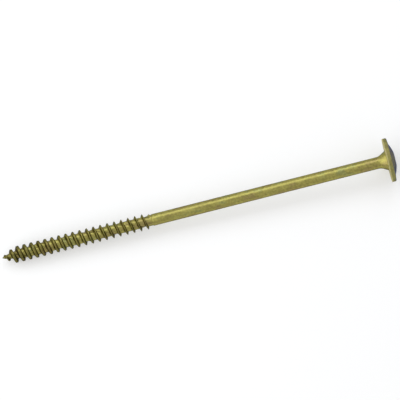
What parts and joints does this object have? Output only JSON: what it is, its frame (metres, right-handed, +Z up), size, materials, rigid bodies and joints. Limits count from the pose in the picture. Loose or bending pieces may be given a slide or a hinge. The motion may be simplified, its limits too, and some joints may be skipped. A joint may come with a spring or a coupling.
{
  "type": "construction screw",
  "caption": "Long timber construction screw with a wide domed flange head, cone under the head, plain shank and coarse tapered thread to a sharp point, yellow zinc plated.",
  "frame": {"origin": "centre of the head's flat underside, on the screw's axis", "axes": "+X towards the head and -X towards the tip, +Z up. The screw lies at rest on the flange's rim and on one turn of the thread, so its axis leans 2.09 degrees down towards the tip"},
  "size_m": [0.2043, 0.0224, 0.0225],
  "materials": {
    "yellow_zinc_steel": "yellow passivated zinc plating, satin, over cold-formed carbon steel"
  },
  "bodies": {
    "root": {"screw": "yellow_zinc_steel"}
  },
  "joints": []
}
